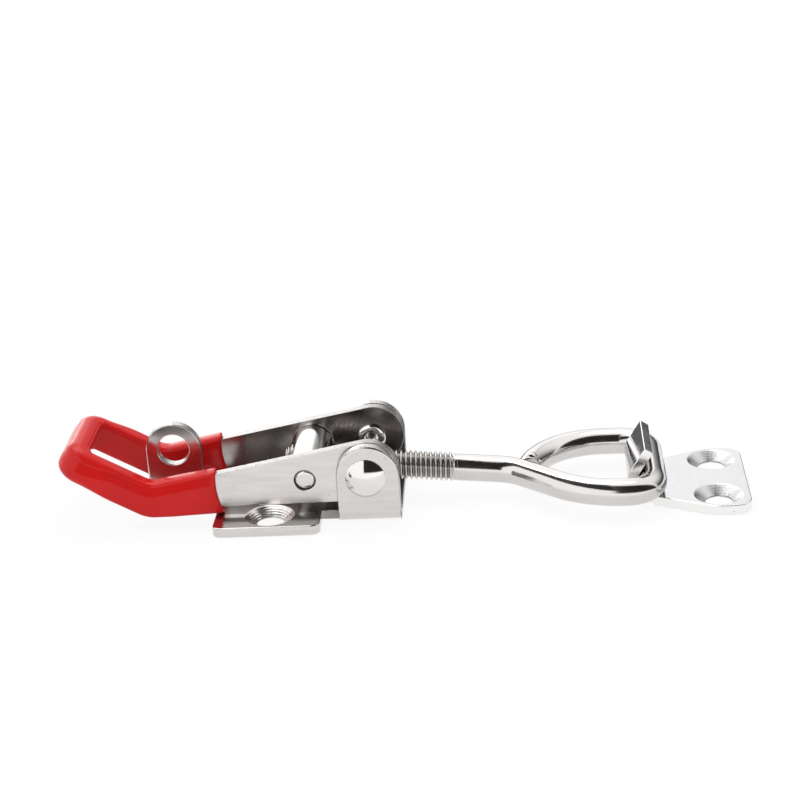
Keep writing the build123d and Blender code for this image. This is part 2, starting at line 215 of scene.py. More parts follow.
def plated_sheet(name, face, shade, sheared, satin, sinks, stretch=(0.12, 1.0, 1.0), ring_depth=1.2,
                 sink_satin=0.04, torn_share=1.0):
    """Plated steel sheet: face and shade are its tones, sheared that of its cut edges, satin its roughness,
    stretch its grain, sinks its screw holes with ring_depth and sink_satin for their tool rings and
    roughness, and torn_share says how torn the cut edges are."""
    material, tree, shader, spot = new_finish(name)
    feed(tree, shader, {"Metallic": 1.0})
    grain = use(tree, rolled_grain, Vector=spot, Stretch=stretch)
    marks = use(tree, handling_marks, Vector=spot)
    edge = painted(tree, "cut")
    torn = use(tree, sheared_edge, Vector=spot, Mask=calc(tree, "MULTIPLY", edge, torn_share))

    inner_shade_tone = (0.20, 0.18, 0.17, 1.0)
    torn_tone = (0.16, 0.15, 0.15, 1.0)
    speck_tone = (0.30, 0.28, 0.27, 1.0)
    # painted shade: the inner faces between the parts are painted dark, mottled by the grain's cloud
    mottle = calc(tree, "MULTIPLY_ADD", grain["Cloud"], 0.45, 0.5)
    inner = calc(tree, "MULTIPLY", painted(tree, "inner_shade"), mottle)
    tone = blend(tree, grain["Tone"], face, shade)
    tone = blend(tree, edge, tone, sheared)
    tone = blend(tree, inner, tone, inner_shade_tone)
    tone = blend(tree, torn["Speckle"], tone, torn_tone)
    tone = blend(tree, marks["Speck"], tone, speck_tone)

    rough = ramp(tree, grain["Cloud"], 0.0, 1.0, satin - 0.03, satin + 0.05)
    height = calc(tree, "MULTIPLY", grain["Height"], 0.25)
    for place, more_rough in ((edge, 0.10), (marks["Scratch"], 0.12)):
        rough = calc(tree, "MULTIPLY_ADD", place, more_rough, rough)
    for relief, more_high in ((torn["Height"], 3.0), (marks["Scratch"], -0.3)):
        height = calc(tree, "MULTIPLY_ADD", relief, more_high, height)
    for sink in sinks:
        centred = put(tree, "ShaderNodeMapping", {"Vector": spot, "Location": -sink}).outputs["Vector"]
        rings = use(tree, countersink_rings, Vector=centred)
        height = calc(tree, "MULTIPLY_ADD", rings["Ring"], ring_depth, height)
        rough = calc(tree, "MULTIPLY_ADD", rings["Inside"], sink_satin, rough)
    dress(tree, shader, tone, rough, height, 0.5, 0.02 * mm)
    return material


def pressed_copy(node, name, end_axis, roll, hole_cuts, is_inside=None, is_torn=None):
    """A copy of a pressed CAD piece with its sheared faces marked and every outer edge eased.

    end_axis is the direction that whole edge faces look along; roll(point) gives the rounding there.
    hole_cuts are (point, direction) planes through its holes: a flat face is parted there, so that no
    hole has to be bridged. is_inside(face) tells the inner faces between the parts, which are painted dark as
    shade, and is_torn(face) whether a cut face keeps its torn grain."""
    widest = 0.5 * mm
    same_spot, on_plane = 1e-7, 1e-6
    level_turn, sharp_turn = math.radians(0.4), math.radians(35)
    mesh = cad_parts[node].data.copy()
    mesh.name = name
    bm = bmesh.new()
    bm.from_mesh(mesh)
    bmesh.ops.remove_doubles(bm, verts=bm.verts, dist=same_spot)
    bmesh.ops.dissolve_limit(bm, angle_limit=level_turn, verts=bm.verts, edges=bm.edges)
    for spot, way in hole_cuts:
        everything = bm.verts[:] + bm.edges[:] + bm.faces[:]
        bmesh.ops.bisect_plane(bm, geom=everything, dist=same_spot, plane_co=spot, plane_no=way)

    def on_cut(edge):
        return any(all(abs((v.co - spot).dot(way)) < on_plane for v in edge.verts) for spot, way in hole_cuts)

    flat = [e for e in bm.edges if len(e.link_faces) == 2 and e.calc_face_angle(0.0) < level_turn]
    bmesh.ops.dissolve_edges(bm, edges=[e for e in flat if not on_cut(e)], use_verts=False)
    straight = [v for v in bm.verts if len(v.link_edges) == 2 and v.calc_edge_angle(1.0) < 0.001]
    bmesh.ops.dissolve_verts(bm, verts=straight)
    cut = bm.faces.layers.float.new("cut")
    inner_shade = bm.faces.layers.float.new("inner_shade")
    weight = bm.edges.layers.float.new("bevel_weight_edge")
    for face in bm.faces:
        spans = [e for e in face.edges if abs(e.calc_length() - sheet_thick) < 0.03 * mm]
        strip = len(face.verts) == 4 and len(spans) == 2
        whole = end_axis is not None and abs(face.normal.dot(end_axis)) > 0.99
        torn = is_torn is None or is_torn(face)
        face[cut] = 1.0 if (strip or whole) and torn else 0.0
        # faces between the parts are marked for the painted shade
        face[inner_shade] = 1.0 if is_inside and is_inside(face) else 0.0
        face.smooth = True
    for edge in bm.edges:
        turn = edge.calc_face_angle(0.0)
        middle = (edge.verts[0].co + edge.verts[1].co) / 2
        size = roll(middle) if turn > sharp_turn and edge.is_convex else 0.0
        if size > 0:
            edge[weight] = size / widest
        elif turn > sharp_turn:
            edge.smooth = False
    bm.to_mesh(mesh)
    bm.free()
    piece = shown(name, mesh)
    adjust(piece.modifiers.new("eased_edges", "BEVEL"), limit_method="WEIGHT", width=widest, segments=3,
           use_clamp_overlap=False)
    # where an eased edge ends, the bevel can leave two points on one spot
    adjust(piece.modifiers.new("weld", "WELD"), merge_threshold=0.002 * mm)
    adjust(piece.modifiers.new("level_normals", "WEIGHTED_NORMAL"), keep_sharp=True, weight=80)
    mesh.materials.clear()
    return piece


def base_roll(point):
    """Rounding of the base plate's edges: soft on the eye, none on the eye's bend, rolled outside,
    sharp where it tore."""
    x, y, z = point / mm
    tongue, wing = x < -10, abs(y) > 12.4
    if tongue and z < 2.78 and abs(y) < 3:
        return 0.0
    for here, above, size in ((tongue, 4, 0.32), (tongue, 2.1, 0.12), (wing, 4, 0.48), (wing, 2.1, 0.30)):
        if here and z > above:
            return size * mm
    if z < 0.05:
        return 0.10 * mm
    return 0.26 * mm if abs(z - sheet_thick / mm) < 0.05 else 0.12 * mm


base_sheet = plated_sheet(
    "satin_plate_base", face=(0.68, 0.655, 0.635, 1.0), shade=(0.63, 0.605, 0.585, 1.0),
    sheared=(0.56, 0.545, 0.53, 1.0), satin=0.17, sinks=base_screws)
along, across = Vector((1, 0, 0)), Vector((0, 1, 0))
eye_middle = at(-20.0, 0.0, 12.5)
floor_half = 10.3 * mm


def base_inside(face):
    """The inner faces of the two ears, and the floor between them that the lever covers: painted dark as shade
    between the parts.
    """
    middle = face.calc_center_median()
    ear = abs(face.normal.y) > 0.9 and middle.x > 10 * mm and abs(middle.y) < 11 * mm
    floor = face.normal.z > 0.9 and abs(middle.z - sheet_thick) < 0.05 * mm
    return ear or (floor and abs(middle.y) < floor_half)


def base_torn(face):
    """The wings' sides were dressed after shearing; the ears and the eye keep their torn edges."""
    return face.calc_center_median().z > 2.2 * mm


# the two cuts along y part off the floor under the lever, which is painted dark as shade
base = pressed_copy("base_plate", "pressed_base", along, base_roll,
                    [(base_screws[0], along), (pivot, along), (eye_middle, along),
                     (across * floor_half, across), (-across * floor_half, across)],
                    base_inside, base_torn)
base.data.materials.append(base_sheet)
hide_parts("base_plate")
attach(base, "base")


# Handle lever. One strip of the same sheet folded to a U: two side plates between the ears,
# joined at the far end by the web of the turned-up arm, which the red coating covers.
# Both plates are pierced for the main rivets and for the trunnion's pins.
def lever_roll(point):
    """The blank was sheared from the outside: rolled edge outside, burr side inside."""
    return 0.22 * mm if abs(point.y) > 10.1 * mm else 0.10 * mm


def lever_inside(face):
    """The inner faces of the two side plates, painted dark as shade between them."""
    return abs(face.normal.y) > 0.9 and abs(face.calc_center_median().y) < 8.5 * mm


trunnion = at(7.4, 0.0, 8.8)
lever = pressed_copy("handle_lever", "folded_lever", None, lever_roll, [(pivot, along), (trunnion, along)],
                     lever_inside)
lever.data.materials.append(plated_sheet(
    "satin_plate_lever", face=(0.70, 0.675, 0.655, 1.0), shade=(0.64, 0.615, 0.60, 1.0),
    sheared=(0.43, 0.42, 0.41, 1.0), satin=0.20, sinks=[]))
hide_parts("handle_lever")
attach(lever, "handle")


# Dipped grip. The hot lever is dipped arm first in red PVC plastisol, which gels to a glossy
# coat about 1 mm thick. It pulls thin over the upper corners, fills the fold inside and stops
# at the dip line in a small rounded lip.
coat = 1.0 * mm
coat_below = 1.6 * mm
coat_above = 0.85 * mm
rim_outer = 1.0 * mm
rim_inner = 1.1 * mm
rim_below = 0.9 * mm
flank_drop = 2.5 * mm
flank_lean = 0.34 * mm
web_pool = 0.9 * mm
heel_round = 2.0 * mm
web_rim = 2.3 * mm
heel_run = 8.0 * mm
far_dip_back = 1.25 * mm
plate_round = 6.25 * mm
top_fall = math.radians(10.8)
low_fall = math.radians(0.5)
knee_back = 44.6 * mm
knee_turn = math.radians(29.5)
knee_round = 5.0 * mm
knee_steps = 12
arm_height = 4.4 * mm
plate_middle = 9.2 * mm
web_middle = 18.4 * mm
corner_round = 3.0 * mm
dip_line = 30.5 * mm
arm = Vector((-math.cos(knee_turn), math.sin(knee_turn)))


def meet(a, along_a, b, along_b):
    """Where two lines of the side view cross."""
    gap = b - a
    reach = (gap.x * along_b.y - gap.y * along_b.x) / (along_a.x * along_b.y - along_a.y * along_b.x)
    return a + reach * along_a


def eased_line(start, corner, end, radius, steps):
    """The points of a run with one rounded corner: its start, the arc's points and its end."""
    back = (start - corner).normalized()
    ahead = (end - corner).normalized()
    half = back.angle(ahead) / 2
    centre = corner + (back + ahead).normalized() * radius / math.sin(half)
    first = corner + back * radius / math.tan(half)
    last = corner + ahead * radius / math.tan(half)
    arc = []
    for i in range(steps + 1):
        way = (first - centre).lerp(last - centre, i / steps)
        arc.append(centre + way.normalized() * radius)
    return arc


def plate_edge(is_top, grown):
    """One edge of the side plate, grown outwards: its point on the dip line, its knee's arc and its end."""
    fall, up, arm_side = (top_fall, 1, arm_height + grown) if is_top else (low_fall, -1, -grown)
    hub = Vector((ear_middle.x, ear_middle.z))
    foot = Vector((ear_middle.x - knee_back, ear_middle.z - plate_round - knee_back * math.tan(low_fall)))
    rise = Vector((math.sin(knee_turn), math.cos(knee_turn)))
    way = Vector((-math.cos(fall), -math.sin(fall)))
    start = hub + Vector((-up * math.sin(fall), up * math.cos(fall))) * (plate_round + grown)
    on_arm = foot + rise * arm_side
    end = on_arm + arm * (web_middle - corner_round)
    arc = eased_line(start, meet(start, way, on_arm, arm), end, knee_round - up * grown, knee_steps)
    stop = ear_middle.x - dip_line
    return start + way * (start.x - stop) / -way.x, arc, end


def grip_section(tall, half, fill, web_share, soft):
    """Closed loop of one section as (outward, upward) pairs, wound so that outward comes first.

    soft 0 is the bare strip with square corners; soft 1 the full coat, whose upper flank leans in.
    fill is extra coat on the inner side; web_share is 0 on the arms and 1 on the web, where it is rounder."""
    lean = flank_lean * soft
    outer = max((rim_outer + (web_rim - rim_outer) * web_share) * soft, 0.01 * mm)
    drop = flank_drop + (web_rim - rim_outer) * web_share * soft
    inner = max(rim_inner * soft, 0.01 * mm)
    below = max(rim_below * soft, 0.01 * mm)
    back = half + fill * soft
    corner_steps = 8
    loop = []

    def corner(p, q, radius, start):
        for i in range(corner_steps + 1):
            turn = start + math.pi / 2 * i / corner_steps
            loop.append((p + radius * math.cos(turn), q + radius * math.sin(turn)))

    heel = below + (heel_round - rim_below) * soft * web_share
    corner(half - heel, heel, heel, -math.pi / 2)
    for share in (0.35, 0.7):
        loop.append((half, heel + share * (tall - drop - heel)))
    for share, height in ((0.0, -0.25), (0.12, 0.12), (0.38, 0.5)):
        loop.append((half - lean * share, tall - drop + height * mm))
    corner(half - lean - outer, tall - outer, outer, 0.0)
    corner(inner - back, tall - inner, inner, math.pi / 2)
    for share in (0.25, 0.5, 0.75):
        loop.append((-back, tall - inner + share * (below + inner - tall)))
    corner(below - back, below, below, math.pi)
    return loop


def window_fill(before):
    """Coat gathered on the arm's inner side, at a distance before its corner: a fillet to the web."""
    left = max(0.0, web_pool - before)
    return web_pool - math.sqrt(web_pool ** 2 - left ** 2)


def grip_stations():
    """One row for each section: its edges (bare low, bare top, coated low, coated top), y, the way
    outwards, the distance from the dip line, fill and web share."""
    edges = [plate_edge(False, 0.0), plate_edge(True, 0.0),
             plate_edge(False, coat_below), plate_edge(True, coat_above)]
    low_dip, low_arc, low_end = edges[2]
    run, arm_run = (low_dip - low_arc[0]).length, (low_end - low_arc[-1]).length
    rows = []
    for step in (0.0, 0.03, 0.08, 0.16, 0.28, 0.42, 0.6, 0.8, 1.05, 1.35, 1.7, 2.2, 3.0, 4.2, 6.0, 9.0):
        ends = [dip.lerp(arc[0], step * mm / run) for dip, arc, end in edges]
        rows.append((ends, step * mm, 0.0, 0.0))
    for i in range(knee_steps + 1):
        rows.append(([arc[i] for dip, arc, end in edges], run, 0.0, 0.0))
    for before in (9.0, 8.0, 6.5, 5.0, 4.0, 3.0, 2.2, 1.6, 1.2, 0.9, 0.6, 0.3, 0.0):
        ends = [arc[-1].lerp(end, 1 - before * mm / arm_run) for dip, arc, end in edges]
        near_web = max(0.0, 1 - before * mm / heel_run)
        rows.append((ends, run, window_fill(before * mm), near_web * near_web * (3 - 2 * near_web)))
    near = [(ends, -plate_middle, Vector((0, -1, 0)), *rest) for ends, *rest in rows]
    last = rows[-1][0]
    on_web = (run, web_pool, 1.0)
    turned = []
    corner_steps = 16
    for i in range(1, corner_steps + 1):
        swing = math.pi / 2 * i / corner_steps
        ahead = arm * corner_round * math.sin(swing)
        y = -plate_middle + corner_round * (1 - math.cos(swing))
        out = Vector((arm.x * math.sin(swing), -math.cos(swing), arm.y * math.sin(swing)))
        turned.append(([v + ahead for v in last], y, out, *on_web))
    width = plate_middle - corner_round
    web_ends = [v + arm * corner_round for v in last]
    outward = Vector((arm.x, 0, arm.y))
    web = [(web_ends, inward * mm - width, outward, *on_web) for inward in (0.3, 0.6, 0.9, 1.2, 1.6, 2.5, 4.0)]
    half_way = near + turned + web
    mirrored = [(ends, -y, Vector((out.x, -out.y, out.z)), *rest) for ends, y, out, *rest in reversed(half_way)]
    return half_way + [(web_ends, 0.0, outward, *on_web)] + mirrored


def coat_share(step):
    """Thickness of the coat behind the dip line: a rounded lip, thin at first, then the full coat."""
    lip_run, full_run, thin = 0.6 * mm, 9 * mm, 0.72
    reach = min(step / lip_run, 1.0)
    grown = min(step / full_run, 1.0)
    return math.sqrt(1 - (1 - reach) ** 2) * (thin + (1 - thin) * grown ** 0.7)


def dip_bow(height, y):
    """The dip line is a meniscus: it runs further at both edges, and lies further back on the far side."""
    middle, reach_below, reach_above = 8.5, 5.1, 3.7
    below = max(0.0, (middle - height / mm) / reach_below)
    above = max(0.0, (height / mm - middle) / reach_above)
    return (0.93 * below ** 2 + 0.26 * above ** 2) * mm - (far_dip_back if y > 0 else 0.0)


def soften(bm, sharp_turn):
    """Turns the faces outwards and shades them smooth, but for round caps and edges past sharp_turn."""
    bmesh.ops.recalc_face_normals(bm, faces=bm.faces)
    for face in bm.faces:
        face.smooth = len(face.verts) < 8
    for edge in bm.edges:
        if edge.calc_face_angle(0.0) > sharp_turn:
            edge.smooth = False


def mesh_of(bm, name):
    """The plain mesh of bm, which is freed."""
    mesh = bpy.data.meshes.new(name)
    bm.to_mesh(mesh)
    bm.free()
    return mesh


def dipped_grip():
    """The coat: its outer skin from section to section, closed by an inner skin just inside the strip."""
    outer_rows = []
    inner_rows = []
    for (bare_low, bare_top, full_low, full_top), y, out, step, fill, web_share in grip_stations():
        share = coat_share(step)
        thin = grip_section((bare_top - bare_low).length, sheet_thick / 2, 0.0, 0.0, 0.0)
        full = grip_section((full_top - full_low).length, sheet_thick / 2 + coat, fill, web_share, 1.0)
        bare_up = (bare_top - bare_low).normalized()
        full_up = (full_top - full_low).normalized()
        fade = max(0.0, 1 - step / (7 * mm)) ** 1.5
        skin = []
        core = []
        for (p0, q0), (p1, q1) in zip(thin, full):
            a2 = bare_low + bare_up * q0
            b2 = full_low + full_up * q1
            a = Vector((a2.x, y, a2.y)) + out * p0
            b = Vector((b2.x, y, b2.y)) + out * p1
            spot = a.lerp(b, share)
            bow = Vector((dip_bow(spot.z, y) * fade, 0, 0))
            wave = noise.noise(spot * 140.0) * 0.035 * mm * min(1.0, step / (3 * mm))
            skin.append(spot + (b - a).normalized() * wave + bow)
            core.append(a.lerp(b, -0.02) + bow)
        outer_rows.append(skin)
        inner_rows.append(core)
    # the inner skin ends on the outer skin's first and last loop
    rows = outer_rows + inner_rows[-2:0:-1]
    bm = bmesh.new()
    grid = [[bm.verts.new(v) for v in row] for row in rows]
    around = len(grid[0])
    for i, row in enumerate(grid):
        ahead = grid[(i + 1) % len(grid)]
        for k in range(around):
            nxt = (k + 1) % around
            bm.faces.new((row[k], row[nxt], ahead[nxt], ahead[k]))
    soften(bm, math.pi)
    return shown("dipped_grip", mesh_of(bm, "dipped_grip"))


def red_dip():
    """Glossy red plastisol: even colour, a faint orange peel and a few matt rubbed spots."""
    material, tree, shader, spot = new_finish("red_plastisol")
    feed(tree, shader, {"IOR": 1.52, "Specular IOR Level": 0.20})
    grain = use(tree, rolled_grain, Vector=spot, Fineness=1500.0, Cloud=160.0)
    marks = use(tree, handling_marks, Vector=spot)
    rubbed_tone = (0.62, 0.05, 0.055, 1.0)
    tone = blend(tree, grain["Cloud"], (0.56, 0.010, 0.010, 1.0), (0.51, 0.009, 0.009, 1.0))
    tone = blend(tree, marks["Scratch"], tone, rubbed_tone)
    rough = ramp(tree, grain["Cloud"], 0.0, 1.0, 0.13, 0.19)
    rough = calc(tree, "MULTIPLY_ADD", marks["Scratch"], 0.2, rough)
    dress(tree, shader, tone, rough, grain["Height"], 0.12, 0.02 * mm)
    return material


grip = dipped_grip()
grip.data.materials.append(red_dip())
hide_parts("handle_grip")
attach(grip, "handle")


# Trunnion barrel. Turned from bright steel bar: a thick middle between the plates, bored and
# tapped across for the hook bolt, and a pin at each end that turns in the lever's holes.
shank_fall = math.radians(5.2952)
shank_way = Vector((math.cos(shank_fall), 0.0, -math.sin(shank_fall)))


def turned_part(name, profile, steps):
    """A solid turned about the Y axis from (y, radius) pairs in millimetres, from axis to axis."""
    turns = [2 * math.pi * k / steps for k in range(steps)]
    bm = bmesh.new()
    rings = []
    for y, radius in [(y * mm, radius * mm) for y, radius in profile]:
        if radius == 0:
            rings.append([bm.verts.new((0, y, 0))])
        else:
            rings.append([bm.verts.new((radius * math.cos(t), y, radius * math.sin(t))) for t in turns])
    for a, b in zip(rings, rings[1:]):
        for k in range(steps):
            nxt = (k + 1) % steps
            if len(a) == 1:
                bm.faces.new((a[0], b[k], b[nxt]))
            elif len(b) == 1:
                bm.faces.new((a[k], a[nxt], b[0]))
            else:
                bm.faces.new((a[k], a[nxt], b[nxt], b[k]))
    soften(bm, math.radians(25))
    return mesh_of(bm, name)


def evaluated_copy(name, source, hidden=()):
    """A plain mesh object of what source's modifiers make; source and the hidden helpers are removed."""
    graph = bpy.context.evaluated_depsgraph_get()
    mesh = bpy.data.meshes.new_from_object(source.evaluated_get(graph), preserve_all_data_layers=True,
                                           depsgraph=graph)
    mesh.name = name
    finishes = [m for m in mesh.materials if m is not None]
    mesh.materials.clear()
    for finish in finishes:
        mesh.materials.append(finish)
    for helper in (source, *hidden):
        bpy.data.objects.remove(helper)
    return shown(name, mesh)


def trunnion_barrel():
    """The turned body with both pins, less the tapped hole across it."""
    body, pin, body_end, pin_end = 4.3, 2.1, 7.9, 10.0
    # from the middle out to the right-hand pin's slightly domed, chamfered end
    half = [
        (0.0, body), (body_end - 0.4, body), (body_end - 0.3, body - 0.06),
        (body_end - 0.06, body - 0.3), (body_end, body - 0.4),
        (body_end, pin + 0.12), (body_end + 0.12, pin),
        (pin_end - 0.52, pin), (pin_end - 0.40, pin - 0.05),
        (pin_end - 0.12, pin - 0.32), (pin_end - 0.03, pin - 0.50),
        (pin_end, pin * 0.5), (pin_end, 0)]
    profile = [(-y, radius) for y, radius in reversed(half[1:])] + half
    blank = shown("barrel_blank", turned_part("barrel_blank", profile, 96))
    blank.data.transform(Matrix.Translation(trunnion))
    # the tapped hole across it, with an eased mouth at both ends
    tool_half = [(3.4, 3.0), (3.75, 3.25), (9.0, 6.2), (9.0, 0)]
    tool = turned_part("cross_drill", [(-y, radius) for y, radius in reversed(tool_half)] + tool_half, 64)
    way = Vector((0, 1, 0)).rotation_difference(shank_way).to_matrix().to_4x4()
    tool.transform(Matrix.Translation(trunnion) @ way)
    drill = shown("cross_drill", tool)
    adjust(blank.modifiers.new("cross_hole", "BOOLEAN"), operation="DIFFERENCE", solver="EXACT", object=drill)
    adjust(blank.modifiers.new("level_normals", "WEIGHTED_NORMAL"), keep_sharp=True)
    return evaluated_copy("trunnion_barrel_turned", blank, [drill])


def bright_steel(name, face, shade, polish, stretch):
    """Polished and plated bar: face and shade are its tones, polish its roughness, stretch its grain."""
    material, tree, shader, spot = new_finish(name)
    feed(tree, shader, {"Metallic": 1.0})
    grain = use(tree, rolled_grain, Vector=spot, Stretch=stretch)
    marks = use(tree, handling_marks, Vector=spot)
    dirt_and_shade_tone = (0.11, 0.09, 0.08, 1.0)
    speck_tone = (0.34, 0.32, 0.31, 1.0)
    # a thread's grooves are painted darker: partly oil and rolling dirt that stay there, partly painted shade
    # where the flanks hide each other
    dirt_and_shade = ramp(tree, painted(tree, "groove"), 0.25, 1.0, 0.0, 0.7)
    tone = blend(tree, grain["Cloud"], face, shade)
    tone = blend(tree, dirt_and_shade, tone, dirt_and_shade_tone)
    tone = blend(tree, marks["Speck"], tone, speck_tone)
    rough = ramp(tree, grain["Tone"], 0.0, 1.0, polish - 0.015, polish + 0.03)
    rough = calc(tree, "MULTIPLY_ADD", marks["Scratch"], 0.12, rough)
    dress(tree, shader, tone, rough, grain["Height"], 0.10, 0.01 * mm)
    return material


barrel = trunnion_barrel()
barrel.data.materials.append(bright_steel(
    "bright_turned", face=(0.74, 0.72, 0.70, 1), shade=(0.68, 0.66, 0.64, 1), polish=0.12,
    stretch=(1.0, 0.1, 1.0)))
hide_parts("trunnion_barrel")
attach(barrel, "barrel")


# Main rivets. Two semi-tubular steel rivets, one on each side, that the lever turns on. The
# domed head lies on the ear and the hollow tail is rolled over inside the side plate.
def rivet_profile():
    """The far rivet's (y, radius) pairs, from the dimple in its rolled tail out to the dome's top."""
    shank, head, dome, tail, tail_thick = 2.1, 3.95, 1.85, 2.9, 0.8
    ear_face, plate_face, rim_high, dome_steps = 12.5, 8.05, 0.16, 22
    tip = plate_face - tail_thick
    pairs = [
        (tip + 1.1, 0), (tip + 1.0, 0.55), (tip + 0.7, 0.95),
        (tip + 0.25, 1.25), (tip + 0.06, 1.5), (tip, 1.85),
        (tip + 0.05, 2.3), (tip + 0.2, 2.65), (tip + 0.45, tail - 0.03),
        (plate_face - 0.12, tail), (plate_face, tail - 0.1), (plate_face, shank),
        (ear_face, shank), (ear_face, head - 0.16), (ear_face + 0.04, head - 0.05),
        (ear_face + 0.10, head)]
    rise = dome - rim_high
    ball = (head ** 2 + rise ** 2) / (2 * rise)
    rim = math.asin(head / ball)
    for i in range(dome_steps):
        t = rim * (1 - i / dome_steps)
        pairs.append((ear_face + dome - ball * (1 - math.cos(t)), ball * math.sin(t)))
    return pairs + [(ear_face + dome, 0)]


def shape_tree(name, entries):
    """A geometry node tree with an input for each label, kind and value of entries: the tree, what comes
    in and its end node."""
    tree = bpy.data.node_groups.new(name, "GeometryNodeTree")
    for label, kind, value in [("Geometry", "Geometry", None)] + entries:
        tree.interface.new_socket(label, in_out="INPUT", socket_type="NodeSocket" + kind)
    tree.interface.new_socket("Geometry", in_out="OUTPUT", socket_type="NodeSocketGeometry")
    return tree, tree.nodes.new("NodeGroupInput").outputs, tree.nodes.new("NodeGroupOutput")


def end_shape(tree, leave, geometry, finish):
    """Ends a tree in real geometry that wears its finish."""
    real = put(tree, "GeometryNodeRealizeInstances", {"Geometry": geometry})
    dressed = put(tree, "GeometryNodeSetMaterial", {"Geometry": real.outputs["Geometry"], "Material": finish})
    feed(tree, leave, {"Geometry": dressed.outputs["Geometry"]})


def run_tree(source, tree, entries):
    """Puts the tree on source, each value set by its socket's identifier."""
    maker = adjust(source.modifiers.new(tree.name, "NODES"), node_group=tree)
    values = {label: value for label, kind, value in entries}
    for item in tree.interface.items_tree:
        if item.in_out == "INPUT" and item.name in values:
            maker[item.identifier] = values[item.name]


def rivet_pair():
    """Both rivets, set on the pivot line by a node tree, heads outwards."""
    pattern = bpy.data.objects.new("rivet_pattern", turned_part("rivet_pattern", rivet_profile(), 96))
    polish = bright_steel("mirror_rivet", face=(0.78, 0.765, 0.75, 1), shade=(0.72, 0.70, 0.69, 1),
                          polish=0.08, stretch=(1.0, 1.0, 1.0))
    entries = [("Rivet", "Object", pattern), ("Pivot", "Vector", pivot), ("Count", "Int", 2),
               ("Finish", "Material", polish)]
    tree, enter, leave = shape_tree("set_rivets", entries)
    spots = put(tree, "GeometryNodeMeshLine", {
        "Offset": (0.0, 0.0, 0.0), "Count": enter["Count"], "Start Location": enter["Pivot"]}, mode="OFFSET")
    shape = put(tree, "GeometryNodeObjectInfo", {"Object": enter["Rivet"]})
    # the second rivet is turned half round
    order = put(tree, "GeometryNodeInputIndex").outputs["Index"]
    angles = put(tree, "ShaderNodeCombineXYZ", {"Z": calc(tree, "MULTIPLY", order, math.pi)})
    facing = put(tree, "FunctionNodeEulerToRotation", {"Euler": angles.outputs["Vector"]})
    placed = put(tree, "GeometryNodeInstanceOnPoints", {
        "Points": spots.outputs["Mesh"], "Instance": shape.outputs["Geometry"],
        "Rotation": facing.outputs["Rotation"]})
    end_shape(tree, leave, placed.outputs["Instances"], enter["Finish"])
    carrier = shown("rivet_carrier", bpy.data.meshes.new("rivet_carrier"))
    run_tree(carrier, tree, entries)
    return evaluated_copy("main_rivets", carrier, [pattern])


rivets = rivet_pair()
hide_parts("pivot_rivet_near", "pivot_rivet_far")
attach(rivets, "base")


# Hook bolt. One length of polished 5.4 mm rod: its straight end has a rolled M6 thread that
# runs through the barrel, and the rest is bent round to a loop. The loop's end is butted on
# the shank and held by small beads of weld.
thread_length = 34.72 * mm
rod_tail = trunnion - shank_way * 4.7 * mm
plain_start = rod_tail + shank_way * (thread_length - 0.35 * mm)
# the rod's corners and the bend radius at each, in millimetres
rod_line = [
    (plain_start / mm, 0.0), ((48.4, 0.0, 5.0), 6.6), ((62.856, -12.7, 5.0), 20.0),
    ((76.3, -12.7, 5.0), 5.4), ((76.3, 12.7, 5.0), 6.0), ((53.22, 12.7, 5.0), 15.2),
    ((51.78, -0.9, 5.0), 0.0)]


def rod_centre_line():
    """The rod's corners as an open polyline; each point's radius is the bend radius there."""
    curve = bpy.data.curves.new("rod_centre_line", "CURVE")
    curve.dimensions = "3D"
    spline = curve.splines.new("POLY")
    spline.points.add(len(rod_line) - 1)
    for point, (spot, bend) in zip(spline.points, rod_line):
        point.co = (*(Vector(spot) * mm), 1.0)
        point.radius = bend
    return shown("rod_centre_line", curve)


def live(sockets, kind):
    """The socket of this kind that is in use, on a node that has one for each data type."""
    return next(k for k in sockets if k.enabled and k.type == kind)


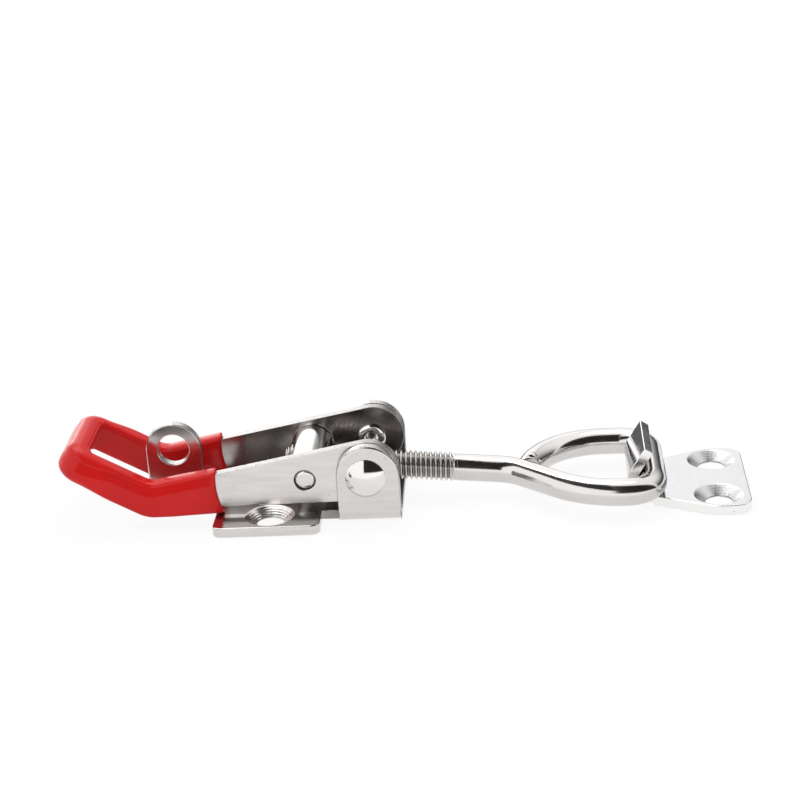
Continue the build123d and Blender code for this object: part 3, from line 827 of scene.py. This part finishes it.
def hook_tree(entries):
    """Sweeps the rod round its bends and rolls the thread on its straight end."""
    tree, enter, leave = shape_tree("bend_and_roll", entries)
    start, way, long = enter["Thread start"], enter["Thread way"], enter["Thread length"]

    def plus(a, b):
        return calc(tree, "ADD", a, b)

    def less(a, b):
        return calc(tree, "SUBTRACT", a, b)

    def times(a, b):
        return calc(tree, "MULTIPLY", a, b)

    rod_half = times(enter["Rod diameter"], 0.5)
    bend_points, point_gap, rod_sides, thread_rings, thread_sides = 18, 0.4 * mm, 48, 490, 44

    def swept(path, sides):
        ring = put(tree, "GeometryNodeCurvePrimitiveCircle", {"Resolution": sides, "Radius": rod_half})
        return put(tree, "GeometryNodeCurveToMesh", {
            "Curve": path, "Profile Curve": ring.outputs["Curve"], "Fill Caps": True}).outputs["Mesh"]

    # the bent rod; its bends run into the straights gently, as they do round a bending pin
    bend = times(put(tree, "GeometryNodeInputRadius").outputs["Radius"], mm)
    bent = put(tree, "GeometryNodeFilletCurve",
               {"Count": bend_points, "Curve": enter["Geometry"], "Radius": bend}, mode="POLY")
    spaced = put(tree, "GeometryNodeResampleCurve",
                 {"Length": point_gap, "Curve": bent.outputs["Curve"]}, mode="LENGTH")
    eased = put(tree, "GeometryNodeBlurAttribute", {"Iterations": 3}, data_type="FLOAT_VECTOR")
    here = put(tree, "GeometryNodeInputPosition").outputs["Position"]
    tree.links.new(here, live(eased.inputs, "VECTOR"))
    gentle = put(tree, "GeometryNodeSetPosition",
                 {"Geometry": spaced.outputs["Curve"], "Position": live(eased.outputs, "VECTOR")})
    even = put(tree, "GeometryNodeSetCurveRadius", {"Radius": 1.0, "Curve": gentle.outputs["Geometry"]})
    plain = swept(even.outputs["Curve"], rod_sides)

    # the threaded end: a fine tube whose radius follows the rolled profile
    tip = vector(tree, "ADD", start, vector(tree, "SCALE", way, Scale=long))
    run = put(tree, "GeometryNodeCurvePrimitiveLine", {"Start": start, "End": tip})
    steps = put(tree, "GeometryNodeResampleCurve",
                {"Count": thread_rings, "Curve": run.outputs["Curve"]}, mode="COUNT")
    hold = put(tree, "GeometryNodeCaptureAttribute")
    hold.capture_items.new("FLOAT", "Along")
    feed(tree, hold, {"Geometry": steps.outputs["Curve"],
                      "Along": put(tree, "GeometryNodeSplineParameter").outputs["Length"]})
    travel = hold.outputs["Along"]
    tube = swept(hold.outputs["Geometry"], thread_sides)

    # angle round the axis, from the point's own place
    crosswise = (0.0, 1.0, 0.0)
    offset = vector(tree, "SUBTRACT", here, start)
    reach = vector(tree, "DOT_PRODUCT", offset, way, gives="Value")
    out = vector(tree, "SUBTRACT", offset, vector(tree, "SCALE", way, Scale=reach))
    spoke = vector(tree, "NORMALIZE", out)
    side = vector(tree, "DOT_PRODUCT", spoke, crosswise, gives="Value")
    upward = vector(tree, "CROSS_PRODUCT", way, crosswise)
    top = vector(tree, "DOT_PRODUCT", spoke, upward, gives="Value")
    turn = calc(tree, "DIVIDE", calc(tree, "ARCTAN2", top, side), 2 * math.pi)
    lead = calc(tree, "DIVIDE", travel, enter["Pitch"])
    phase = calc(tree, "FRACT", less(lead, turn))
    # 0 at the root and 1 at the crest, both rounded as rolling leaves them
    fold = calc(tree, "ABSOLUTE", less(times(phase, 2.0), 1.0))
    flank = ramp(tree, fold, 0.10, 0.90, smooth=True)
    # the thread grows in over its first turn and runs out before the plain rod
    begin = ramp(tree, travel, 0.0, 0.7 * mm, smooth=True)
    runout = ramp(tree, less(long, travel), 0.35 * mm, 1.3 * mm, smooth=True)
    crest = times(enter["Crest diameter"], 0.5)
    root = times(enter["Root diameter"], 0.5)
    raised = plus(root, times(flank, less(crest, root)))
    # the chamfered tip starts below the root, and the run-out ends just under the plain rod
    low_tip = less(root, times(less(1.0, begin), 0.35 * mm))
    started = plus(low_tip, times(begin, less(raised, root)))
    flush = less(rod_half, 0.02 * mm)
    wanted = plus(flush, times(runout, less(started, flush)))
    length = vector(tree, "LENGTH", out, gives="Value")
    # only points on the tube's skin move, not one on its axis
    on_skin = calc(tree, "GREATER_THAN", length, 0.5 * mm)
    shift = vector(tree, "SCALE", spoke, Scale=times(less(wanted, length), on_skin))
    rolled = put(tree, "GeometryNodeSetPosition", {"Geometry": tube, "Offset": shift})

    # how deep in the groove a point lies, which the finish darkens with dirt and painted shade
    marked = put(tree, "GeometryNodeStoreNamedAttribute",
                 {"Name": "groove", "Geometry": rolled.outputs["Geometry"]}, data_type="FLOAT", domain="POINT")
    tree.links.new(times(less(1.0, flank), runout), live(marked.inputs, "VALUE"))
    both = put(tree, "GeometryNodeJoinGeometry", {"Geometry": plain})
    feed(tree, both, {"Geometry": marked.outputs["Geometry"]})
    smooth = put(tree, "GeometryNodeSetShadeSmooth",
                 {"Shade Smooth": True, "Geometry": both.outputs["Geometry"]})
    end_shape(tree, leave, smooth.outputs["Geometry"], enter["Finish"])
    return tree


def weld_spot(bm, centre, size, stretch, seed):
    """A solidified bead: a ball pulled flat, with the low ripples that weld metal sets in."""
    made = bmesh.ops.create_icosphere(bm, subdivisions=4, radius=1.0)["verts"]
    for vert in made:
        way = vert.co.normalized()
        swell = 0.10 * noise.noise(way * 1.7 + Vector((seed, 0, 0)))
        ripple = 0.035 * noise.noise(way * 5.0)
        bead = Vector((way.x * stretch[0], way.y * stretch[1], way.z * stretch[2]))
        vert.co = centre + bead * size * (1 + swell + ripple)


def hook_bolt():
    """The bent and threaded rod with its weld."""
    line = rod_centre_line()
    polish = bright_steel("polished_rod", face=(0.66, 0.64, 0.625, 1), shade=(0.60, 0.58, 0.565, 1),
                          polish=0.13, stretch=(0.2, 1.0, 1.0))
    entries = [
        ("Rod diameter", "Float", 5.4 * mm), ("Crest diameter", "Float", 5.86 * mm),
        ("Root diameter", "Float", 4.80 * mm), ("Pitch", "Float", 1.0 * mm),
        ("Thread start", "Vector", rod_tail), ("Thread way", "Vector", shank_way),
        ("Thread length", "Float", thread_length), ("Finish", "Material", polish)]
    run_tree(line, hook_tree(entries), entries)
    piece = evaluated_copy("bent_hook_bolt", line)
    bm = bmesh.new()
    bm.from_mesh(piece.data)
    bmesh.ops.remove_doubles(bm, verts=bm.verts, dist=0.001 * mm)
    weld_spot(bm, at(52.24, 1.0, 7.1), 1.28 * mm, (1.0, 0.95, 0.9), 3.0)
    weld_spot(bm, at(53.75, 0.1, 6.25), 0.85 * mm, (1.1, 0.9, 0.8), 8.0)
    weld_spot(bm, at(52.24, 1.0, 3.0), 1.2 * mm, (1.1, 1.0, 0.8), 5.0)
    soften(bm, math.radians(60))
    for face in bm.faces:
        face.material_index = 0
    bm.to_mesh(piece.data)
    bm.free()
    return piece


hook = hook_bolt()
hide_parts("hook_bolt")
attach(hook, "hook")


# Strike plate. The same plated sheet with two countersunk screw holes; its narrow end is
# folded up and back as the hook that the loop's front bar is drawn against.
strike_screws = [at(89.2, -8.4, 2.0), at(89.2, 8.4, 2.0)]


def strike_roll(point):
    """Pressed from below, so the upper rim is the rolled one; the tongue's tip was ground square."""
    if point.z > 3 * mm:
        return 0.16 * mm
    return 0.24 * mm if point.z > 1 * mm else 0.12 * mm


strike = pressed_copy("strike_plate", "folded_strike", across, strike_roll, [(strike_screws[0], along)])
strike.data.materials.append(plated_sheet(
    "bright_plate_strike", face=(0.585, 0.585, 0.595, 1.0), shade=(0.555, 0.555, 0.565, 1.0),
    sheared=(0.90, 0.89, 0.88, 1.0), satin=0.08, stretch=(1.0, 0.15, 1.0), sinks=strike_screws,
    ring_depth=0.25, sink_satin=0.24, torn_share=0.0))
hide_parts("strike_plate")
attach(strike, "strike")


# Table, light and camera. A white table and backdrop and a large soft light overhead. Dark
# openings in the bright room and two dark flags by the latch give polished steel its black
# bands and the grip its deep red one.
white = (1.0, 1.0, 1.0, 1.0)
dark_cloth = (0.028, 0.024, 0.022, 1.0)


def stage_finish(name):
    """A material of the studio, its tree and its end node."""
    material = bpy.data.materials.new(name)
    material.use_nodes = True
    material.node_tree.nodes.clear()
    return material, material.node_tree, put(material.node_tree, "ShaderNodeOutputMaterial")


def board(name, corners, material):
    """One flat board with its finish."""
    bm = bmesh.new()
    bm.faces.new([bm.verts.new(corner) for corner in corners])
    piece = shown(name, mesh_of(bm, name))
    piece.data.materials.append(material)
    return piece


def table():
    """The white table top, which glows for the eye and for reflections."""
    material, tree, end = stage_finish("white_table")
    path = put(tree, "ShaderNodeLightPath").outputs
    seen = calc(tree, "MAXIMUM", path["Is Camera Ray"], path["Is Glossy Ray"])
    here = put(tree, "ShaderNodeTexCoord").outputs["Object"]
    parts = put(tree, "ShaderNodeSeparateXYZ", {"Vector": here}).outputs
    # a dark patch painted into the table behind the strike plate, seen by the metal only: a painted reflection
    # of a dark card
    dark_card_reflection = path["Is Glossy Ray"]
    for axis, start, end_at in (("X", -20, 10), ("X", 95, 80), ("Y", 15, 38), ("Y", 1500, 1000)):
        side = ramp(tree, parts[axis], start * mm, end_at * mm, smooth=True)
        dark_card_reflection = calc(tree, "MULTIPLY", dark_card_reflection, side)
    strength = ramp(tree, dark_card_reflection, 0.0, 1.0, 1.0, 0.03)
    # mirrored metal sees the table grow lighter into the distance, up to the backdrop
    away = calc(tree, "ABSOLUTE", parts["Y"])
    lift = ramp(tree, away, 20 * mm, 170 * mm, 0.0, 0.36)
    lift = calc(tree, "MULTIPLY", lift, path["Is Glossy Ray"])
    strength = calc(tree, "MULTIPLY_ADD", strength, lift, strength)
    matt = put(tree, "ShaderNodeBsdfDiffuse", {"Color": (0.86, 0.86, 0.86, 1.0)})
    glow = put(tree, "ShaderNodeEmission", {"Color": white, "Strength": strength})
    share = calc(tree, "MULTIPLY", seen, 0.90)
    mix = put(tree, "ShaderNodeMixShader", {0: share, 1: matt.outputs["BSDF"], 2: glow.outputs["Emission"]})
    feed(tree, end, {"Surface": mix.outputs["Shader"]})
    reach, drop = 3.0, -0.03 * mm
    corners = [(x * reach, y * reach, drop) for x, y in ((-1, -1), (1, -1), (1, 1), (-1, 1))]
    top = board("table", corners, material)


def flag(name, outline):
    """A dark cloth board that only reflections see; outline holds its corners in millimetres."""
    material, tree, end = stage_finish(name)
    cloth = put(tree, "ShaderNodeEmission", {"Color": dark_cloth, "Strength": 1.0})
    feed(tree, end, {"Surface": cloth.outputs["Emission"]})
    cloth_board = board(name, [Vector(corner) * mm for corner in outline], material)
    for rays in ("camera", "diffuse", "transmission", "volume_scatter", "shadow"):
        setattr(cloth_board, "visible_" + rays, False)


def studio():
    """World: white to the eye, even white for matt surfaces, and for reflections a bright room with
    two dark openings, a window and a lamp."""
    world = bpy.data.worlds.new("studio")
    bpy.context.scene.world = world
    world.use_nodes = True
    tree = world.node_tree
    tree.nodes.clear()
    here = put(tree, "ShaderNodeTexCoord").outputs["Generated"]
    parts = put(tree, "ShaderNodeSeparateXYZ", {"Vector": here}).outputs
    right, up = parts["X"], parts["Z"]
    front = calc(tree, "MULTIPLY", parts["Y"], -1.0)
    lean = calc(tree, "ARCTAN2", front, up)

    def area(*sides):
        """1 inside, fading to 0 across each side, which is (direction, where it is 0, where it is 1)."""
        shares = [ramp(tree, value, start, end, smooth=True) for value, start, end in sides]
        total = shares[0]
        for share in shares[1:]:
            total = calc(tree, "MULTIPLY", total, share)
        return total

    # the dark opening before the table is a band about 42 degrees of lean, cut off upright on its left
    middle, outer, inner = math.radians(42), math.radians(37), math.radians(28)
    apart = calc(tree, "ABSOLUTE", calc(tree, "SUBTRACT", lean, middle))
    opening = area((apart, outer, inner), (right, -0.15, -0.09))
    # behind, to the right: darkest just above the horizon
    behind = area((front, 0.0, -0.15), (right, 0.09, 0.20), (up, 0.0, 0.03), (up, 0.75, 0.08))
    dark = calc(tree, "MAXIMUM", opening, behind)
    # the window behind, which pale flat tops mirror
    window = area((front, -0.4, -0.6), (right, 0.16, 0.10), (up, 0.12, 0.25), (up, 0.70, 0.60))
    bright = ramp(tree, window, 0.0, 1.0, 1.3, 1.45)
    # a lamp behind to the left, low down: the highlight on the grip's web
    lamp = area((front, -0.4, -0.6), (right, -0.14, -0.22), (right, -0.62, -0.52),
                (up, 0.03, 0.10), (up, 0.34, 0.27))
    bright = calc(tree, "MULTIPLY_ADD", lamp, 1.9, bright)
    room = blend(tree, dark, bright, dark_cloth)
    lit = put(tree, "ShaderNodeBackground", {"Color": room, "Strength": 1.0})
    plain = put(tree, "ShaderNodeBackground", {"Color": white, "Strength": 1.0})
    path = put(tree, "ShaderNodeLightPath").outputs
    even = calc(tree, "MAXIMUM", path["Is Camera Ray"], path["Is Diffuse Ray"])
    mix = put(tree, "ShaderNodeMixShader",
              {0: even, 1: lit.outputs["Background"], 2: plain.outputs["Background"]})
    put(tree, "ShaderNodeOutputWorld", {"Surface": mix.outputs["Shader"]})


def key_light():
    """A large soft box overhead, behind the latch to the left and turned to it."""
    place, aim = Vector((-0.10, 0.25, 0.65)), Vector((0.03, 0, 0))
    lamp = adjust(bpy.data.lights.new("key_box", "AREA"), shape="RECTANGLE", size=0.55, size_y=0.4, energy=1.6)
    turn = (aim - place).to_track_quat("-Z", "Y").to_euler()
    adjust(shown("key_box", lamp), location=place, rotation_euler=turn)


def camera():
    """A long lens from the front right, a little above the latch."""
    lens = bpy.data.cameras.new("camera")
    eye = shown("camera", adjust(lens, sensor_width=36.0, lens=90.897, clip_start=0.01, clip_end=20.0))
    turn, fall, roll = math.radians(4.258), math.radians(22.068), math.radians(-3.772)
    look = Vector((-math.sin(turn) * math.cos(fall), math.cos(turn) * math.cos(fall), -math.sin(fall)))
    level = Vector((math.cos(turn), math.sin(turn), 0))
    up = level.cross(look)
    right = math.cos(roll) * level + math.sin(roll) * up
    top = -math.sin(roll) * level + math.cos(roll) * up
    aim, away = at(26.61, 0.0, 21.115), 403.9 * mm
    place = aim - look * away
    eye.matrix_world = Matrix.Translation(place) @ Matrix((right, top, -look)).transposed().to_4x4()
    bpy.context.scene.camera = eye


table()
# over the bent rod: the near leg's black band
flag("rod_flag", [(x, y, 60) for x, y in (
    (62, -12.7), (51, -9.9), (16.7, 31.4), (-4, 34), (10, -14), (20, -40), (43, -74), (60, -84))])
# before the grip: the deep red band on its leaning flank
flag("grip_flag", [(x, -30, z) for x, z in (
    (-13, 4.2), (-28, 2.3), (-47, 11.5), (-47, 22), (-28, 10), (-13, 12))])
studio()
key_light()
camera()
bpy.context.scene.view_settings.view_transform = "Standard"
